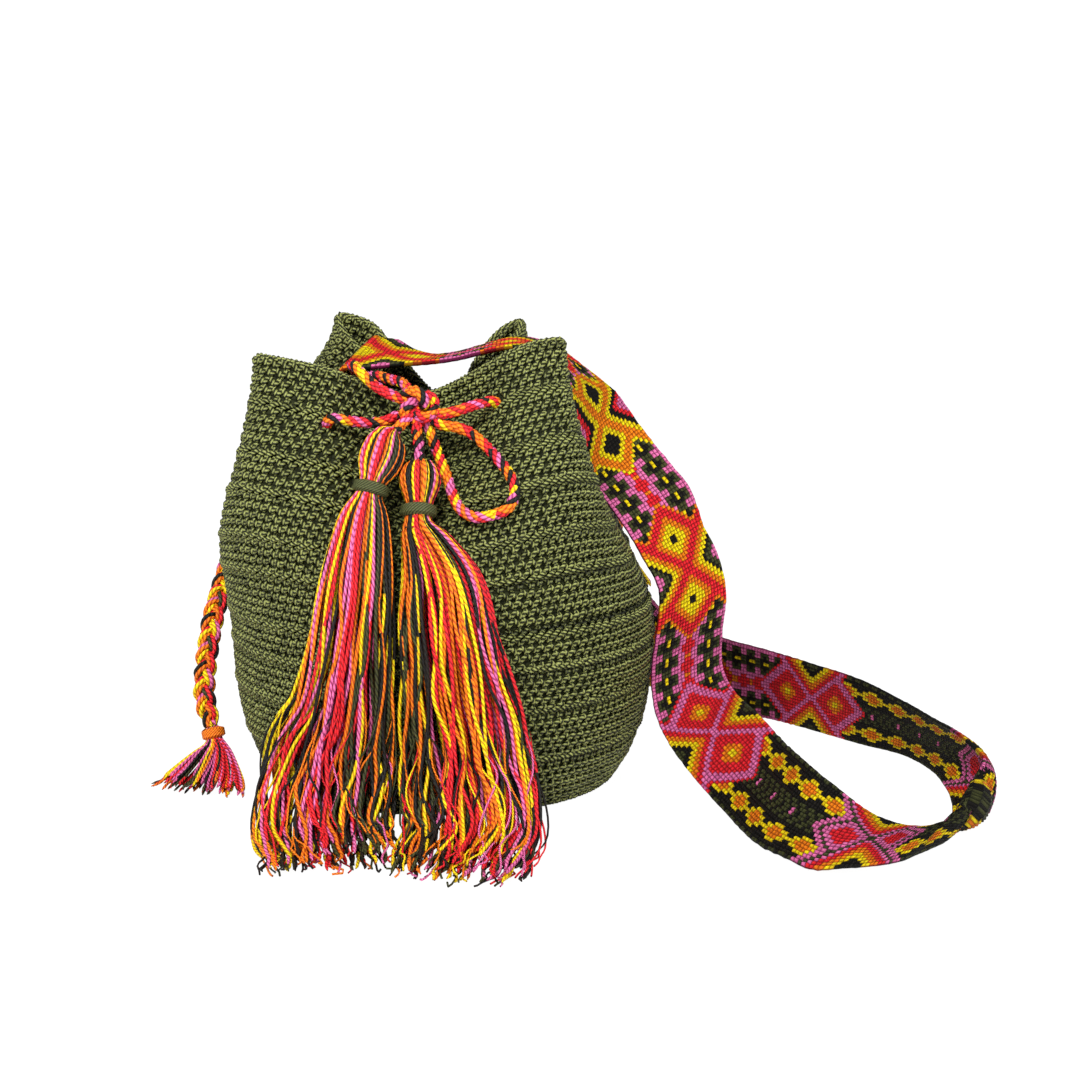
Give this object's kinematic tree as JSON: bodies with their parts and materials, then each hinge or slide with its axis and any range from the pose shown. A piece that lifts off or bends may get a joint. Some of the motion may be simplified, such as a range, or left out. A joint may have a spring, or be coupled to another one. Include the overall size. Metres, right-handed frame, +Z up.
{
  "type": "crochet crossbody bag",
  "caption": "Soft crochet bucket bag with a drawstring mouth tied in a knot, hanging yarn tassels and a wide patterned shoulder strap laid beside it.",
  "frame": {"origin": "middle of the round base, on the surface that the bag stands on", "axes": "+Z up, +X along the bag towards the strap loop that lies beside it, -Y the front, where the drawstring is tied"},
  "size_m": [0.5018, 0.3707, 0.2848],
  "materials": {
    "olive_crochet": "tight single crochet in matt olive yarn",
    "strap_weave": "dense knotted weave in bright cotton yarns with a diamond pattern",
    "tassel_yarn": "loose matt yarns in pink, red, orange and yellow",
    "drawstring_yarn": "twisted matt yarn cord",
    "orange_thread": "wound matt thread"
  },
  "bodies": {
    "bag": {"crochet_body": "olive_crochet", "strap": "strap_weave", "drawstring": "drawstring_yarn", "drawstring_knot": "drawstring_yarn", "drawstring_loop": "drawstring_yarn", "strap_tie_lower": "drawstring_yarn", "strap_tie_upper": "drawstring_yarn"},
    "left_tassel": {"tassel_left": "tassel_yarn", "tassel_left_wrap": "olive_crochet"},
    "right_tassel": {"tassel_right": "tassel_yarn", "tassel_right_wrap": "olive_crochet"},
    "left_braid": {"left_tail": "strap_weave", "left_tail_tie": "orange_thread"},
    "right_braid": {"right_tail": "strap_weave", "right_tail_tie": "orange_thread"}
  },
  "joints": [
    {"name": "left_tassel_swing", "type": "hinge", "parent": "bag", "child": "left_tassel", "pos_m": [-0.018, -0.086, 0.232], "axis": [-1, 0, 0], "range_deg": [0, 75]},
    {"name": "right_tassel_swing", "type": "hinge", "parent": "bag", "child": "right_tassel", "pos_m": [-0.008, -0.086, 0.229], "axis": [-1, 0, 0], "range_deg": [0, 75]},
    {"name": "left_braid_swing", "type": "hinge", "parent": "bag", "child": "left_braid", "pos_m": [-0.1345, 0.0635, 0.178], "axis": [0, 1, 0], "range_deg": [0, 60]},
    {"name": "right_braid_swing", "type": "hinge", "parent": "bag", "child": "right_braid", "pos_m": [0.0825, 0.0535, 0.2365], "axis": [0.5708, -0.8211, 0], "range_deg": [0, 50]}
  ]
}
